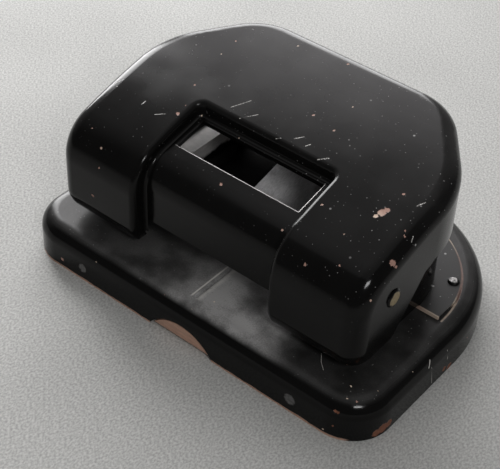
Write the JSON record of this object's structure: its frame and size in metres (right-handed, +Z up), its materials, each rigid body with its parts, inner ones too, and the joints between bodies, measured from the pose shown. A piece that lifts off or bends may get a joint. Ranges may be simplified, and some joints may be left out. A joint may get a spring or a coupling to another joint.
{
  "type": "desk paper punch",
  "caption": "Desk paper punch with a hinged pressed-steel hood as its lever, spring-loaded punch pins, a sight window, a riveted frame and a base with a hinged chip cover.",
  "frame": {"origin": "middle of the base's footprint, on the table", "axes": "+X along the base to the right, +Y from the paper's side to the rear, +Z up"},
  "size_m": [0.116, 0.082, 0.0541],
  "materials": {
    "black_lacquer": "glossy black stoving lacquer, chipped and dusty",
    "cover_lacquer": "worn lacquer with rust at the edges",
    "bare_steel": "dull bare steel",
    "hard_steel": "ground steel",
    "spring_steel": "flat grey spring steel",
    "pivot_metal": "tarnished, dusty"
  },
  "bodies": {
    "stand": {"base_shell": "black_lacquer", "cover_hinge_lugs": "black_lacquer", "cover_hinge_wire": "bare_steel", "die_left": "hard_steel", "die_right": "hard_steel", "frame": "black_lacquer", "frame_rivets": "black_lacquer", "guide_bush_left": "bare_steel", "guide_bush_right": "bare_steel", "guide_plate": "bare_steel", "leaf_spring_rivets": "spring_steel", "lever_leaf_spring": "spring_steel", "paper_stop": "bare_steel", "paper_stop_rivets": "bare_steel", "pivot_pin_left": "pivot_metal", "pivot_pin_right": "pivot_metal", "pivot_washers": "bare_steel", "punch_spring_left": "spring_steel", "punch_spring_right": "spring_steel"},
    "hood": {"hood_lever": "black_lacquer", "press_bracket_left": "bare_steel", "press_bracket_right": "bare_steel"},
    "punch_left": {"punch_pin_left": "hard_steel", "spring_collar_left": "bare_steel"},
    "punch_right": {"punch_pin_right": "hard_steel", "spring_collar_right": "bare_steel"},
    "cover": {"bottom_cover": "cover_lacquer"}
  },
  "joints": [
    {"name": "lever_press", "type": "hinge", "parent": "stand", "child": "hood", "pos_m": [0, -0.0208, 0.033], "axis": [-1, 0, 0], "range_deg": [0, 15], "stiffness_Nm_per_rad": 1, "springref_deg": -5.73, "deforming": ["lever_leaf_spring"]},
    {"name": "punch_left_slide", "type": "slide", "parent": "stand", "child": "punch_left", "axis": [0, 0, -1], "range_m": [0, 0.003], "deforming": ["punch_spring_left"]},
    {"name": "punch_right_slide", "type": "slide", "parent": "stand", "child": "punch_right", "axis": [0, 0, -1], "range_m": [0, 0.003], "deforming": ["punch_spring_right"]},
    {"name": "cover_swing", "type": "hinge", "parent": "stand", "child": "cover", "pos_m": [0, 0.0376, 0.002], "axis": [1, 0, 0], "range_deg": [0, 90]}
  ],
  "couplings": [
    {"joint": "punch_left_slide", "follows": "lever_press", "m_per_rad": 0.011},
    {"joint": "punch_right_slide", "follows": "lever_press", "m_per_rad": 0.011}
  ]
}
